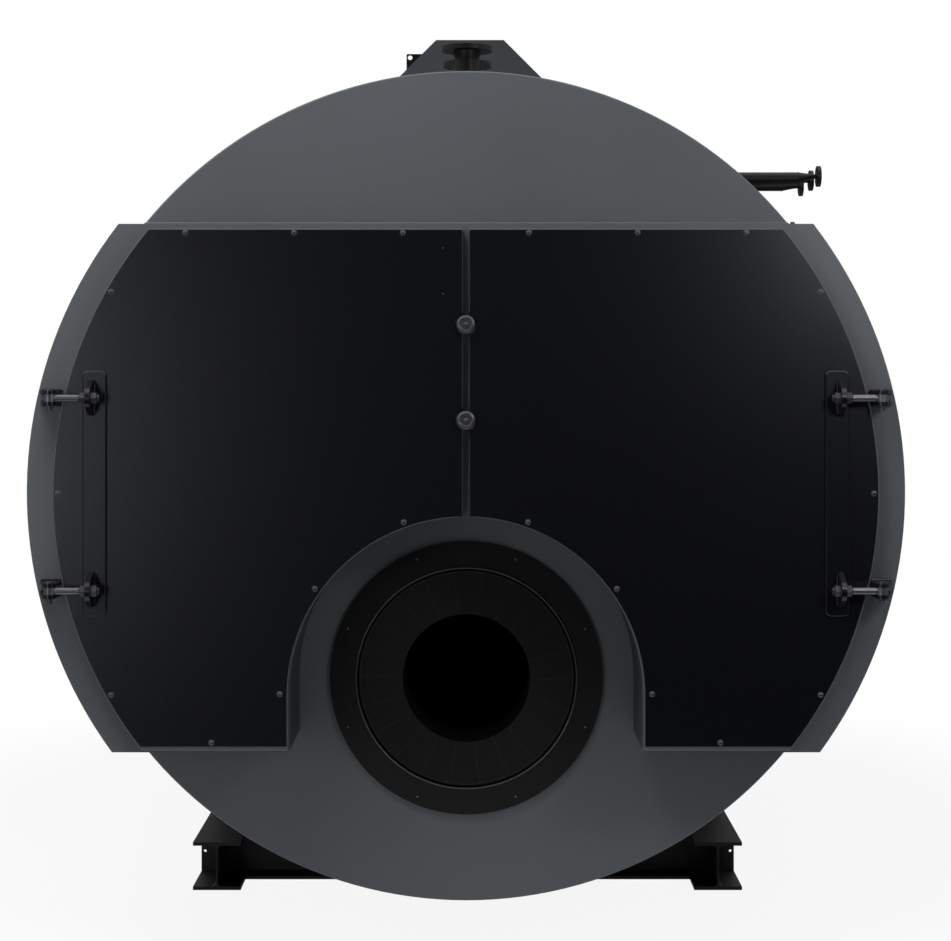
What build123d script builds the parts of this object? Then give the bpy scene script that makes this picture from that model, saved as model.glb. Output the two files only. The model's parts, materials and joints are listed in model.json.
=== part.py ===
"""Three-pass fire-tube boiler on a beam base, front end with two hinged smokebox doors.

World frame: +Z up, the front faces -Y, origin at the middle of the footprint on the ground.
Front pieces are drawn on the boiler's front face: x to the right, y up from the boiler axis, and
"forward" is the distance in front of that face (behind it is negative). All sizes in millimetres.
"""
from build123d import *

import os
from math import radians, sin, sqrt

# Shell
SHELL_R = 1700.0
SHELL_LENGTH = 4985.0
JACKET_WALL = 60.0
CLADDING_T = 40.0
CLADDING_FRONT_BEVEL = 6.0
CLADDING_REAR_BEVEL = 8.0
TUBE_PLATE_T = 28.0
TUBE_PLATE_GAP = 2.0

# Smoke tubes, seen as bores in the front tube plate
TUBE_BORE = 76.0
TUBE_SIDES = 12
TUBE_DEPTH = 22.0
TUBE_PITCH = 176.0
TUBE_MARGIN = 70.0

# Burner opening and furnace
BURNER_DROP = 784.5
BURNER_PLATE_R = 557.5
BURNER_PLATE_T = 20.0
BURNER_HOLE_R = 500.0
BURNER_BOLT_PCD = 1050.0
BURNER_BOLT_HOLE_R = 9.0
BURNER_BOLTS = 8
LIP_R = 453.5
LIP_W = 6.0
LIP_H = 5.0
REFRACTORY_GAP = 9.0
REFRACTORY_DEPTH = 260.0
THROAT_R = 260.0
FURNACE_R = 540.0
FURNACE_WALL = 16.0

# Smokebox in front of the tube plate
SMOKEBOX_DEPTH = 440.0
SMOKEBOX_TOP = 1040.0
SMOKEBOX_BOTTOM = -1006.0
SMOKEBOX_WALL = 10.0
FRAME_T = 15.0
TUNNEL_R = 684.0
TUNNEL_DROP = 776.0
SMOKEBOX_SILL = 40.0
POST_W = 120.0
LIP_STRIP_RISE = 32.0
LIP_STRIP_H = 7.0
LIP_STRIP_T = 10.0
LIP_STRIP_BEVEL = 5.0

# Doors
DOOR_T = 65.0
PANEL_T = 4.0
DOOR_REST_GAP = 0.5
DOOR_INSET = 111.0
DOOR_TOP_INSET = 21.0
DOOR_BOTTOM_INSET = 18.0
DOOR_ARCH_INSET = 1.0
DOOR_LAP = 65.0
DOOR_GAP = 22.0
TRAY_BEVEL = 1.0
PANEL_TOP_RIM = 7.0
PANEL_BOTTOM_RIM = 17.0
PANEL_SIDE_RIM = 6.5
PANEL_ARCH_RIM = 4.0
PANEL_CENTRE_RIM = 5.0
LINING_T = 70.0
LINING_INSET = 45.0

# Centre clamp knobs on the post
KNOB_HEIGHTS = (648.0, 281.0)
KNOB_R = 37.0
KNOB_RIM_H = 10.0
KNOB_SHOULDER_R = 34.0
KNOB_SHOULDER_H = 8.0
KNOB_FACE_R = 25.0
KNOB_FACE_H = 5.0
KNOB_RECESS = 2.5
KNOB_NUB_R = 9.0
KNOB_NUB_H = 6.0
KNOB_STUD_R = 13.0
KNOB_STAND_OFF = 3.0
KNOB_CLEAR = 6.0
KNOB_SWING_CLEAR = 10.0

# Door hinges: fixed ears and pins, eyebolts through lugs on a strap
HINGE_HEIGHT = 367.0
HINGE_CLEAR = 7.0
EAR_T = 13.0
EAR_GAP = 30.0
EAR_NOSE_R = 24.0
EAR_IN = 26.0
EAR_OUT = 60.0
PIN_R = 11.0
PIN_FIT = 0.3
PIN_HEAD_R = 17.0
PIN_HEAD_H = 7.0
PIN_TAIL = 20.0
EYE_R = 23.0
EYE_T = 28.0
ROD_R = 13.5
NUT_FLATS = 41.0
NUT_H = 22.0
BOLT_END = 9.0
EYEBOLT_REACH = 150.0
LUG_T = 19.0
LUG_NOSE_R = 42.0
LUG_HOLE_RISE = 49.0
LUG_BASE = 134.0
LUG_OFFSET = 11.0
STRAP_W = 90.0
STRAP_L = 942.0
STRAP_T = 12.0
STRAP_BEVEL = 4.0
STRAP_CORNER_R = 20.0

# Flanged nozzles on the crown: pipe, taper neck, flange with a raised face
CROWN_SETBACKS = (505.0, 945.0)
CROWN_RISE = 183.0
CROWN_PIPE_R = 54.0
CROWN_PIPE_WALL = 4.0
CROWN_FLANGE_R = 110.0
CROWN_FLANGE_T = 20.0
CROWN_FACE_R = 79.0
CROWN_FACE_H = 3.0
CROWN_NECK = 30.0
CROWN_NECK_R = 61.0
CROWN_PCD = 180.0
CROWN_HOLE_R = 9.0
CROWN_HOLES = 8

# Flanged nozzles on the right shoulder: pipe, reducer, short end, flange with a raised face
SIDE_SETBACKS = (889.0, 1088.0, 1368.0, 1616.0)
SIDE_RISES = (0.797, 0.797, 0.797, 0.68)
SIDE_PIPE_RADII = (28.5, 16.85, 16.85, 16.85)
SIDE_PIPE_DROPS = (9.6, 6.2, 6.2, 6.2)
SIDE_FACE_INSET = 93.0
SIDE_REDUCER = 63.0
SIDE_END_R = 10.65
SIDE_END_WALL = 2.6
SIDE_END_L = 21.0
SIDE_FLANGE_R = 47.5
SIDE_FLANGE_T = 16.0
SIDE_FACE_R = 22.5
SIDE_FACE_H = 2.0
SIDE_PCD = 65.0
SIDE_HOLE_R = 7.0
SIDE_HOLES = 4

# Base of wide-flange beams
BEAM_DEPTH = 220.0
BEAM_WIDTH = 220.0
BEAM_WEB = 9.5
BEAM_FLANGE = 16.0
BEAM_ROOT_R = 18.0
CROSS_DEPTH = 200.0
CROSS_WIDTH = 200.0
CROSS_WEB = 9.0
CROSS_FLANGE = 15.0
CROSS_ROOT_R = 18.0
BEAM_X = 1154.0
BEAM_SETBACK = 990.0
CROSS_SETBACK = 291.0
LASHING_R = 14.0
LASHING_INSET = 75.0
STIFFENER_T = 12.0
STIFFENER_SNIPE = 22.0
STIFFENER_HOLE_R = 7.0
STIFFENER_HOLE_INSET = 17.0

# Saddle legs between beams and shell
SADDLE_SETBACK = 1750.0
SADDLE_T = 20.0
SADDLE_W = 300.0
SADDLE_RIB_L = 180.0

# Rear smokebox with the flue hood
REAR_HALF_W = 1000.0
REAR_DEPTH = 740.0
REAR_BOTTOM = 1300.0
REAR_TOP = 4588.0
REAR_WALL = 8.0
HOOD_TOP_HALF_W = 225.0
FLUE_HALF_W = 175.0
FLUE_LENGTH = 600.0
LUG_PLATE_T = 15.0
LUG_PLATE_OUT = 422.0
LUG_PLATE_TOP_DROP = 92.0
LUG_PLATE_CORNER_R = 10.0
LUG_EYE_R = 15.5
LUG_EYE_IN = 24.0

# Places worked out from the sizes above
AXIS_Z = BEAM_DEPTH + SHELL_R
FRAME_FRONT = SMOKEBOX_DEPTH
DOOR_BACK = FRAME_FRONT + DOOR_REST_GAP
DOOR_FRONT = FRAME_FRONT + DOOR_T
DOOR_R = SHELL_R - DOOR_INSET
DOOR_TOP = SMOKEBOX_TOP - DOOR_TOP_INSET
DOOR_BOTTOM = SMOKEBOX_BOTTOM + DOOR_BOTTOM_INSET
DOOR_ARCH_R = TUNNEL_R + DOOR_ARCH_INSET
EAR_REACH = EAR_GAP / 2 + EAR_T
HINGE_X = sqrt(DOOR_R**2 - (HINGE_HEIGHT - EAR_REACH) ** 2) + HINGE_CLEAR + EAR_IN
PIN_FORWARD = DOOR_FRONT + STRAP_T + LUG_HOLE_RISE
LUG_X = HINGE_X - EYEBOLT_REACH
STRAP_X = LUG_X - LUG_OFFSET
FRONT_REACH = PIN_FORWARD + LUG_NOSE_R
DISC_Y = (FRONT_REACH - SHELL_LENGTH - REAR_DEPTH) / 2
FRONT = Plane(origin=(0, DISC_Y, AXIS_Z), x_dir=(1, 0, 0), z_dir=(0, -1, 0))
BURNER = Pos(0, -BURNER_DROP)
TUNNEL = Pos(0, -TUNNEL_DROP)
HOOD_EAVES = REAR_TOP - (REAR_HALF_W - HOOD_TOP_HALF_W)
FAR = 4 * SHELL_R
SIDES = {"left": -1, "right": 1}

os.makedirs("parts", exist_ok=True)


def setback_y(behind):
    """World y of a point this far behind the front face."""
    return DISC_Y + behind


def front_plate(outline, back, front):
    """Extrude an outline drawn on the front face between two forward distances."""
    return extrude(FRONT.offset(back) * outline, amount=front - back)


def save(name, *solids):
    """Write one node, as one or more separate solids."""
    shape = solids[0] if len(solids) == 1 else Compound(children=list(solids))
    export_step(shape, f"parts/{name}.step")


def half_plane(side, start):
    """Everything beyond x = side * start on one side of the middle."""
    return Pos(side * (start + FAR / 2), 0) * Rectangle(FAR, FAR)


def level_band(bottom, top):
    """Everything between two heights."""
    return Pos(0, (bottom + top) / 2) * Rectangle(FAR, top - bottom)


def tunnel_outline(radius):
    """Round-topped doorway around the burner, open downwards."""
    return TUNNEL * (Circle(radius) + Pos(0, -FAR / 4) * Rectangle(2 * radius, FAR / 2))


def smokebox_outline(radius, top, bottom, tunnel_r):
    """Round outline cut flat above and below, with the tunnel taken out."""
    return (Circle(radius) & level_band(bottom, top)) - tunnel_outline(tunnel_r)


def door_outline(side, radius, top, bottom, tunnel_r, gap):
    """One half of the smokebox outline, standing off the middle by half a gap."""
    return smokebox_outline(radius, top, bottom, tunnel_r) & half_plane(side, gap / 2)


def door_opening(side):
    """Opening in the front frame behind one door."""
    return door_outline(
        side, DOOR_R - DOOR_LAP, DOOR_TOP - DOOR_LAP, DOOR_BOTTOM + DOOR_LAP, DOOR_ARCH_R + DOOR_LAP, POST_W
    )


def bolt_circle(pcd, count, radius):
    """Ring of round holes, none on the upright line."""
    return PolarLocations(pcd / 2, count, start_angle=180 / count) * Circle(radius)


def beam_profile(depth, width, web, flange, root):
    """Wide-flange section with root fillets, standing on y = 0."""
    outline = Pos(0, depth / 2) * (Rectangle(width, depth) - Rectangle(FAR, depth - 2 * flange)
                                   + Rectangle(web, depth))
    roots = [v for v in outline.vertices() if abs(abs(v.X) - web / 2) < 0.01]
    return fillet(roots, root)


def shell():
    """Jacket, end claddings, front tube plate and furnace tube."""
    rear = -SHELL_LENGTH
    jacket = Circle(SHELL_R) - Circle(SHELL_R - JACKET_WALL)
    save("shell_jacket", front_plate(jacket, rear + CLADDING_T, -CLADDING_T))
    sill = SMOKEBOX_WALL + SMOKEBOX_SILL
    passage = smokebox_outline(SHELL_R - sill, SMOKEBOX_TOP - sill, SMOKEBOX_BOTTOM + sill, TUNNEL_R + sill)
    face = Circle(SHELL_R) - passage - BURNER * Circle(BURNER_HOLE_R)
    front = front_plate(face, -CLADDING_T, 0)
    outer_edge = front.edges().group_by(Axis.Y)[0].sort_by(SortBy.LENGTH)[-1]
    save("front_cladding", chamfer(outer_edge, CLADDING_FRONT_BEVEL))
    back = front_plate(Circle(SHELL_R), rear, rear + CLADDING_T)
    rim = back.edges().group_by(Axis.Y)[-1]
    save("rear_cladding", chamfer(rim, CLADDING_REAR_BEVEL))
    plate_back = -CLADDING_T - TUBE_PLATE_T
    disc = Circle(SHELL_R - JACKET_WALL - TUBE_PLATE_GAP) - BURNER * Circle(FURNACE_R)
    plate = front_plate(disc, plate_back, -CLADDING_T)
    tube = RegularPolygon(TUBE_BORE / 2, TUBE_SIDES)
    bores = [front_plate(Pos(*spot) * tube, -CLADDING_T - TUBE_DEPTH, 0) for spot in tube_spots()]
    save("front_tube_plate", plate - bores)
    furnace = BURNER * (Circle(FURNACE_R + FURNACE_WALL) - Circle(FURNACE_R))
    save("furnace_tube", front_plate(furnace, rear + CLADDING_T, plate_back))


def tube_spots():
    """Staggered tube centres that lie clear inside the two door openings."""
    row_rise = TUBE_PITCH * sin(radians(60))
    rows = int(SHELL_R / row_rise)
    columns = int(SHELL_R / TUBE_PITCH)
    outer = DOOR_R - DOOR_LAP - TUBE_MARGIN
    inner = DOOR_ARCH_R + DOOR_LAP + TUBE_MARGIN
    lowest = DOOR_BOTTOM + DOOR_LAP + TUBE_MARGIN
    highest = DOOR_TOP - DOOR_LAP - TUBE_MARGIN
    spots = []
    for row in range(-rows, rows + 1):
        y = row * row_rise
        for column in range(-columns, columns):
            x = (column + 0.5 + 0.5 * (row % 2)) * TUBE_PITCH
            in_round = x**2 + y**2 < outer**2
            off_tunnel = x**2 + (y + TUNNEL_DROP) ** 2 > inner**2
            beside = abs(x) > (POST_W / 2 + TUBE_MARGIN if y > -TUNNEL_DROP else inner)
            if in_round and lowest < y < highest and off_tunnel and beside:
                spots.append((x, y))
    return spots


def burner_opening():
    """Bolted burner plate with a raised lip, and the refractory throat behind it."""
    disc = BURNER * (Circle(BURNER_PLATE_R) - Circle(LIP_R - LIP_W)
                     - bolt_circle(BURNER_BOLT_PCD, BURNER_BOLTS, BURNER_BOLT_HOLE_R))
    lip = BURNER * (Circle(LIP_R) - Circle(LIP_R - LIP_W))
    plate = front_plate(disc, 0, BURNER_PLATE_T) + front_plate(lip, 0, BURNER_PLATE_T + LIP_H)
    save("burner_plate", plate)
    plug = BURNER * (Circle(LIP_R - LIP_W - REFRACTORY_GAP) - Circle(THROAT_R))
    collar = BURNER * (Circle(BURNER_HOLE_R - REFRACTORY_GAP) - Circle(THROAT_R))
    throat = front_plate(plug, 0, BURNER_PLATE_T) + front_plate(collar, -REFRACTORY_DEPTH, 0)
    save("throat_refractory", throat)


def smokebox():
    """Walls, front frame with centre post, and the strip over the smokebox roof."""
    wall = SMOKEBOX_WALL
    outer = smokebox_outline(SHELL_R, SMOKEBOX_TOP, SMOKEBOX_BOTTOM, TUNNEL_R)
    inner = smokebox_outline(SHELL_R - wall, SMOKEBOX_TOP - wall, SMOKEBOX_BOTTOM + wall, TUNNEL_R + wall)
    ring = outer - inner
    frame_back = FRAME_FRONT - FRAME_T
    roof = ring & level_band(SMOKEBOX_TOP - wall, FAR / 2)
    floor = ring & level_band(-FAR / 2, SMOKEBOX_BOTTOM + wall)
    upright = ring - roof - floor
    tunnel = upright & tunnel_outline(TUNNEL_R + wall + SMOKEBOX_SILL)
    sides = upright - tunnel
    save("smokebox_roof", front_plate(roof, 0, frame_back))
    save("smokebox_tunnel", front_plate(tunnel, 0, frame_back))
    for name, side in SIDES.items():
        save(f"smokebox_{name}_floor", front_plate(floor & half_plane(side, 0), 0, frame_back))
        save(f"smokebox_{name}_wall", front_plate(sides & half_plane(side, 0), 0, frame_back))
    openings = door_opening(-1) + door_opening(1)
    save("smokebox_frame", front_plate(outer - openings, frame_back, FRAME_FRONT))
    strip_bottom = SMOKEBOX_TOP + LIP_STRIP_RISE
    strip_outline = Circle(SHELL_R) & level_band(strip_bottom, strip_bottom + LIP_STRIP_H)
    strip = front_plate(strip_outline, 0, LIP_STRIP_T)
    top_edge = strip.edges().filter_by(Axis.X).group_by(Axis.Y)[0].sort_by(Axis.Z)[-1]
    save("crown_strip", chamfer(top_edge, LIP_STRIP_BEVEL))


def clamp_knobs():
    """Round knobs with a shouldered rim, a sunk face and a nub, on studs in the centre post."""
    seat = DOOR_FRONT + KNOB_STAND_OFF
    rim = seat + KNOB_RIM_H
    shoulder = rim + KNOB_SHOULDER_H
    crown = shoulder + KNOB_FACE_H
    face = crown - KNOB_RECESS
    nub = face + KNOB_NUB_H
    section = make_face(Polyline(
        (0, FRAME_FRONT), (KNOB_STUD_R, FRAME_FRONT), (KNOB_STUD_R, seat), (KNOB_R, seat), (KNOB_R, rim),
        (KNOB_SHOULDER_R, shoulder), (KNOB_FACE_R, crown), (KNOB_FACE_R, face), (KNOB_NUB_R, face),
        (KNOB_NUB_R, nub), (0, nub), close=True))
    knob = revolve(Plane.XZ * section, Axis.Z)
    save("door_clamp_knobs", *[FRONT * Pos(0, height, 0) * knob for height in KNOB_HEIGHTS])


def door(name, side):
    """Door tray with a bevelled front edge, cover panel and lining, relieved around the fixed knobs."""
    reliefs = [Pos(0, height) * Circle(KNOB_R + KNOB_SWING_CLEAR) for height in KNOB_HEIGHTS]
    outline = door_outline(side, DOOR_R, DOOR_TOP, DOOR_BOTTOM, DOOR_ARCH_R, DOOR_GAP) - reliefs
    tray = front_plate(outline, DOOR_BACK, DOOR_FRONT - PANEL_T)
    front_edges = tray.edges().group_by(Axis.Y)[0]
    save(f"{name}_door_body", chamfer(front_edges, TRAY_BEVEL))
    notches = [Pos(0, height) * Circle(KNOB_R + KNOB_CLEAR) for height in KNOB_HEIGHTS]
    sheet = door_outline(
        side, DOOR_R - PANEL_SIDE_RIM, DOOR_TOP - PANEL_TOP_RIM, DOOR_BOTTOM + PANEL_BOTTOM_RIM,
        DOOR_ARCH_R + PANEL_ARCH_RIM, DOOR_GAP + 2 * PANEL_CENTRE_RIM
    ) - notches
    save(f"{name}_door_panel", front_plate(sheet, DOOR_FRONT - PANEL_T, DOOR_FRONT))
    inset = DOOR_LAP + LINING_INSET
    block = door_outline(
        side, DOOR_R - inset, DOOR_TOP - inset, DOOR_BOTTOM + inset, DOOR_ARCH_R + inset,
        POST_W + 2 * LINING_INSET
    )
    save(f"{name}_door_lining", front_plate(block, DOOR_BACK - LINING_T, DOOR_BACK))


def hinge_ears(name, side):
    """Pairs of ears on the frame, each with its pin."""
    ears, pins = [], []
    pivot = Pos(side * HINGE_X, setback_y(-PIN_FORWARD))
    base_y = setback_y(-FRAME_FRONT)
    base_x = side * (HINGE_X + (EAR_OUT - EAR_IN) / 2)
    base = Pos(base_x, base_y - EAR_T / 2) * Rectangle(EAR_IN + EAR_OUT, EAR_T)
    outline = make_hull((pivot * Circle(EAR_NOSE_R)).edges() + base.edges()) - pivot * Circle(PIN_R)
    for level in (HINGE_HEIGHT, -HINGE_HEIGHT):
        z = AXIS_Z + level
        for start in (z + EAR_GAP / 2, z - EAR_REACH):
            ears.append(extrude(Pos(0, 0, start) * outline, amount=EAR_T))
        shank = extrude(Pos(0, 0, z - EAR_REACH - PIN_TAIL) * pivot * Circle(PIN_R - PIN_FIT),
                        amount=2 * EAR_REACH + PIN_TAIL)
        head = extrude(Pos(0, 0, z + EAR_REACH) * pivot * Circle(PIN_HEAD_R), amount=PIN_HEAD_H)
        pins.append(shank + head)
    save(f"{name}_hinge_ears", *ears)
    save(f"{name}_hinge_pins", *pins)


def hinge_strap(name, side):
    """Bevelled strap on the cover panel with an upright lug at each hinge."""
    flat = Pos(side * STRAP_X, 0) * RectangleRounded(STRAP_W, STRAP_L, STRAP_CORNER_R)
    strap = front_plate(flat, DOOR_FRONT, DOOR_FRONT + STRAP_T)
    strap = chamfer(strap.edges().group_by(Axis.Y)[0], STRAP_BEVEL)
    for level in (HINGE_HEIGHT, -HINGE_HEIGHT):
        across = Plane(origin=(side * LUG_X - LUG_T / 2, setback_y(-PIN_FORWARD), AXIS_Z + level),
                       x_dir=(0, -1, 0), z_dir=(1, 0, 0))
        nose = Circle(LUG_NOSE_R)
        seat = Pos(-LUG_HOLE_RISE + STRAP_T / 2, 0) * Rectangle(STRAP_T, LUG_BASE)
        outline = make_hull(nose.edges() + seat.edges()) - Circle(ROD_R + PIN_FIT)
        strap += extrude(across * outline, amount=LUG_T)
    save(f"{name}_hinge_strap", strap)


def eyebolts(name, side):
    """Eyebolts with a nut on each side of the lug."""
    bolts = []
    for level in (HINGE_HEIGHT, -HINGE_HEIGHT):
        centre = Pos(side * HINGE_X, setback_y(-PIN_FORWARD), AXIS_Z + level)
        eye = Cylinder(EYE_R, EYE_T)
        rod_length = EYEBOLT_REACH + LUG_T / 2 + NUT_H + BOLT_END
        along = Plane(origin=(0, 0, 0), x_dir=(0, 1, 0), z_dir=(-side, 0, 0))
        bolt = eye + along * extrude(Circle(ROD_R), amount=rod_length)
        nut = RegularPolygon(NUT_FLATS / 2, 6, major_radius=False)
        for start in (EYEBOLT_REACH - LUG_T / 2 - NUT_H, EYEBOLT_REACH + LUG_T / 2):
            bolt += along.offset(start) * extrude(nut, amount=NUT_H)
        bolts.append(centre * (bolt - Cylinder(PIN_R, 2 * EYE_T)))
    save(f"{name}_eyebolts", *bolts)


def crown_nozzles():
    """Upright flanged nozzles on the crown line, coped to the jacket."""
    jacket = FRONT * extrude(Circle(SHELL_R), amount=-SHELL_LENGTH)
    start = SHELL_R / 2
    length = SHELL_R + CROWN_RISE - start
    rim_top = length - CROWN_FACE_H
    flange_under = rim_top - CROWN_FLANGE_T
    bore_r = CROWN_PIPE_R - CROWN_PIPE_WALL
    section = make_face(Polyline(
        (bore_r, 0), (CROWN_PIPE_R, 0), (CROWN_PIPE_R, flange_under - CROWN_NECK),
        (CROWN_NECK_R, flange_under), (CROWN_FLANGE_R, flange_under), (CROWN_FLANGE_R, rim_top),
        (CROWN_FACE_R, rim_top), (CROWN_FACE_R, length), (bore_r, length), close=True))
    pipe = revolve(Plane.XZ * section, Axis.Z)
    holes = extrude(Pos(0, 0, flange_under) * Sketch(children=list(
        bolt_circle(CROWN_PCD, CROWN_HOLES, CROWN_HOLE_R))), amount=CROWN_FLANGE_T)
    for number, setback in enumerate(CROWN_SETBACKS, start=1):
        placed = Pos(0, setback_y(setback), AXIS_Z + start) * (pipe - holes)
        save(f"crown_nozzle_{number}", placed - jacket)


def side_nozzles():
    """Level nozzles on the right shoulder, each reduced to a small flange, coped to the jacket."""
    jacket = FRONT * extrude(Circle(SHELL_R), amount=-SHELL_LENGTH)
    face_x = SHELL_R - SIDE_FACE_INSET
    flange_back = face_x - SIDE_FACE_H - SIDE_FLANGE_T
    reducer_end = flange_back - SIDE_END_L
    reducer_start = reducer_end - SIDE_REDUCER
    slim = Circle(SIDE_END_R)
    disc = Circle(SIDE_FLANGE_R) - bolt_circle(SIDE_PCD, SIDE_HOLES, SIDE_HOLE_R)
    places = zip(SIDE_SETBACKS, SIDE_RISES, SIDE_PIPE_RADII, SIDE_PIPE_DROPS)
    for number, (setback, rise, pipe_r, drop) in enumerate(places, start=1):
        height = rise * SHELL_R
        across = Plane(origin=(0, setback_y(setback), AXIS_Z + height), x_dir=(0, 1, 0), z_dir=(1, 0, 0))
        wide = Pos(0, -drop) * Circle(pipe_r)
        start = sqrt(SHELL_R**2 - height**2) / 2
        pipe = extrude(across.offset(start) * wide, amount=reducer_start - start)
        reducer = loft([across.offset(reducer_start) * wide, across.offset(reducer_end) * slim], ruled=True)
        end = extrude(across.offset(reducer_end) * slim, amount=SIDE_END_L)
        flange = extrude(across.offset(flange_back) * disc, amount=SIDE_FLANGE_T)
        face = extrude(across.offset(flange_back) * Circle(SIDE_FACE_R), amount=face_x - flange_back)
        bore = extrude(across.offset(start) * Circle(SIDE_END_R - SIDE_END_WALL), amount=face_x - start)
        save(f"side_nozzle_{number}", pipe + reducer + end + flange + face - bore - jacket)


def base():
    """Two long beams, two cross beams and the stiffener plates at their crossings."""
    length = SHELL_LENGTH - 2 * BEAM_SETBACK
    front_y = setback_y(BEAM_SETBACK)
    along = Plane(origin=(0, front_y + length, 0), x_dir=(1, 0, 0), z_dir=(0, -1, 0))
    holes = [Pos(0, front_y + inset, BEAM_DEPTH / 2) * Rot(0, 90, 0) * Cylinder(LASHING_R, BEAM_WIDTH)
             for inset in (LASHING_INSET, length - LASHING_INSET)]
    profile = beam_profile(BEAM_DEPTH, BEAM_WIDTH, BEAM_WEB, BEAM_FLANGE, BEAM_ROOT_R)
    beam = extrude(along * profile, amount=length) - holes
    for name, side in SIDES.items():
        save(f"{name}_base_beam", Pos(side * BEAM_X, 0, 0) * beam)
    inner_edge = BEAM_X - BEAM_WIDTH / 2
    cross_ys = (front_y + CROSS_SETBACK, front_y + length - CROSS_SETBACK)
    across = Plane(origin=(-inner_edge, 0, 0), x_dir=(0, 1, 0), z_dir=(1, 0, 0))
    cross_profile = beam_profile(CROSS_DEPTH, CROSS_WIDTH, CROSS_WEB, CROSS_FLANGE, CROSS_ROOT_R)
    cross = extrude(across * cross_profile, amount=2 * inner_edge)
    for name, y in zip(("front", "rear"), cross_ys):
        save(f"{name}_cross_beam", Pos(0, y, 0) * cross)
    reach = (BEAM_WIDTH - BEAM_WEB) / 2
    tall = BEAM_DEPTH - 2 * BEAM_FLANGE
    plate = Rectangle(reach, tall)
    web_corners = plate.vertices().group_by(Axis.X)[0]
    plate = chamfer(web_corners, STIFFENER_SNIPE)
    drilled = plate - Pos(reach / 2 - STIFFENER_HOLE_INSET, 0) * Circle(STIFFENER_HOLE_R)
    plates = []
    for y in cross_ys:
        for side in SIDES.values():
            for outline, facing in ((drilled, side), (plate, -side)):
                middle = side * BEAM_X + facing * (BEAM_WEB / 2 + reach / 2)
                stand = Plane(origin=(middle, y - facing * STIFFENER_T / 2, BEAM_DEPTH / 2),
                              x_dir=(facing, 0, 0), z_dir=(0, facing, 0))
                plates.append(extrude(stand * outline, amount=STIFFENER_T))
    save("base_stiffeners", *plates)


def saddles():
    """Ribbed legs that carry the shell on the long beams, cut to the jacket's round."""
    jacket = FRONT * extrude(Circle(SHELL_R), amount=-SHELL_LENGTH)
    top = AXIS_Z - sqrt(SHELL_R**2 - (BEAM_X + SADDLE_W / 2) ** 2)
    tall = top - BEAM_DEPTH
    for name, setback in (("front", SADDLE_SETBACK), ("rear", SHELL_LENGTH - SADDLE_SETBACK)):
        legs = []
        for side in SIDES.values():
            foot = Pos(side * BEAM_X, setback_y(setback), BEAM_DEPTH + tall / 2)
            leg = foot * (Box(BEAM_WIDTH, SADDLE_T, tall) + Box(SADDLE_T, SADDLE_RIB_L, tall))
            legs.append(leg - jacket)
        save(f"{name}_saddles", *legs)


def rear_smokebox():
    """Flue-gas box on the rear end, its sloped hood with the flue outlet, and the lug on the hood."""
    rear = Plane(origin=(0, setback_y(SHELL_LENGTH), 0), x_dir=(1, 0, 0), z_dir=(0, -1, 0))
    tall = HOOD_EAVES - REAR_BOTTOM
    box = Pos(0, REAR_BOTTOM + tall / 2) * Rectangle(2 * REAR_HALF_W, tall)
    save("rear_smokebox", extrude(rear * box, amount=-REAR_DEPTH))
    hood_outline = make_face(Polyline(
        (-REAR_HALF_W, HOOD_EAVES), (REAR_HALF_W, HOOD_EAVES), (HOOD_TOP_HALF_W, REAR_TOP),
        (-HOOD_TOP_HALF_W, REAR_TOP), close=True))
    hood = extrude(rear * hood_outline, amount=-REAR_DEPTH)
    inner_outline = make_face(Polyline(
        (-REAR_HALF_W + 2 * REAR_WALL, HOOD_EAVES), (REAR_HALF_W - 2 * REAR_WALL, HOOD_EAVES),
        (HOOD_TOP_HALF_W - REAR_WALL, REAR_TOP - REAR_WALL),
        (-HOOD_TOP_HALF_W + REAR_WALL, REAR_TOP - REAR_WALL), close=True))
    hollow = extrude(rear.offset(-REAR_WALL) * inner_outline, amount=2 * REAR_WALL - REAR_DEPTH)
    middle_y = setback_y(SHELL_LENGTH + REAR_DEPTH / 2)
    flue = Pos(0, middle_y, REAR_TOP) * Box(2 * FLUE_HALF_W, FLUE_LENGTH, 4 * REAR_WALL)
    save("flue_hood", hood - hollow - flue)
    slope_at = REAR_TOP + HOOD_TOP_HALF_W
    lug_top = REAR_TOP - LUG_PLATE_TOP_DROP
    lug = make_face(Polyline(
        (-(slope_at - lug_top), lug_top), (-LUG_PLATE_OUT, lug_top),
        (-LUG_PLATE_OUT, slope_at - LUG_PLATE_OUT), close=True))
    corner = lug.vertices().sort_by(Axis.Y)[-2:].sort_by(Axis.X)[0]
    lug = fillet(corner, LUG_PLATE_CORNER_R)
    lug -= Pos(-LUG_PLATE_OUT + LUG_EYE_IN, lug_top - LUG_EYE_IN) * Circle(LUG_EYE_R)
    save("hood_lug", extrude(rear.offset(-REAR_WALL) * lug, amount=-LUG_PLATE_T))


shell()
burner_opening()
smokebox()
clamp_knobs()
for side_name, side_sign in SIDES.items():
    door(side_name, side_sign)
    hinge_ears(side_name, side_sign)
    hinge_strap(side_name, side_sign)
    eyebolts(side_name, side_sign)
crown_nozzles()
side_nozzles()
base()
saddles()
rear_smokebox()
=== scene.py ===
"""Finishes, small fittings and studio of a fire-tube boiler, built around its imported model.

All lengths are metres in the model's own frame: +Z up, the boiler's front faces -Y, the ground is z = 0.
Pieces are surfaces computed as whole numpy arrays; each shape's formula is in its function's docstring.
"""
import json

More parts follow.
